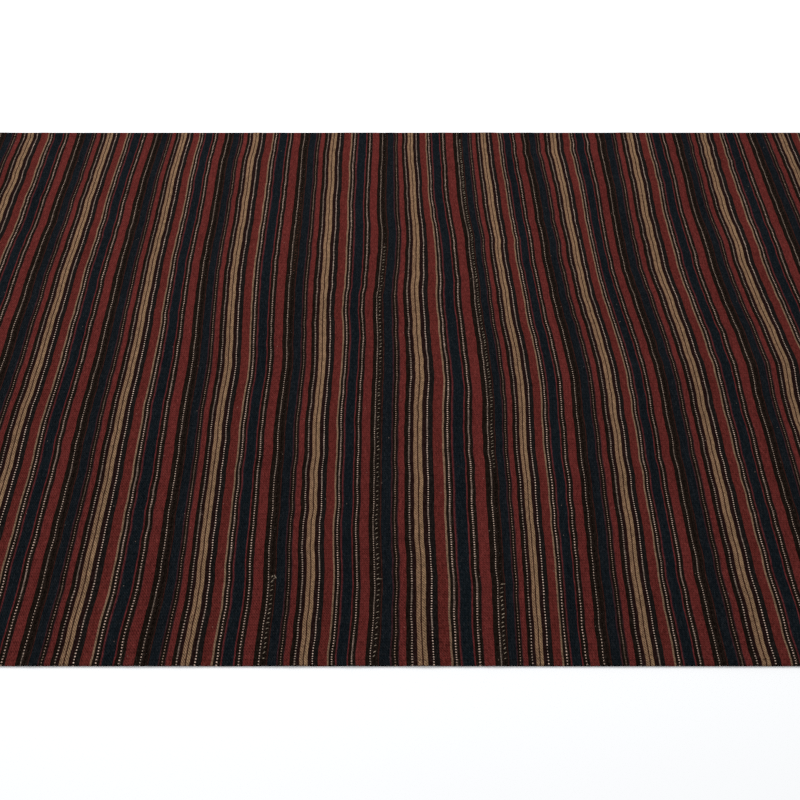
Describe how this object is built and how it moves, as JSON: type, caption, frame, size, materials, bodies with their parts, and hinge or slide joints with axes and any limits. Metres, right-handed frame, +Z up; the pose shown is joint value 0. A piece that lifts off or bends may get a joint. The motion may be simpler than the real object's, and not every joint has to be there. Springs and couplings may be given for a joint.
{
  "type": "kilim",
  "caption": "Flat-woven striped kilim of narrow strips sewn edge to edge, laid flat with low ripples, with plain turned hems at both ends.",
  "frame": {"origin": "on the ground under the middle of the cloth", "axes": "+X across the strips, +Y along the strips and their stripes, +Z up from the ground"},
  "size_m": [2.4686, 1.525, 0.0091],
  "materials": {
    "wool_weave": "warp-faced wool weave striped in madder red, indigo, black-brown and camel"
  },
  "bodies": {
    "root": {"strip_01": "wool_weave", "strip_02": "wool_weave", "strip_03": "wool_weave", "strip_04": "wool_weave", "strip_05": "wool_weave", "strip_06": "wool_weave", "strip_07": "wool_weave", "strip_08": "wool_weave", "strip_09": "wool_weave", "strip_10": "wool_weave", "strip_11": "wool_weave", "strip_12": "wool_weave"}
  },
  "joints": []
}
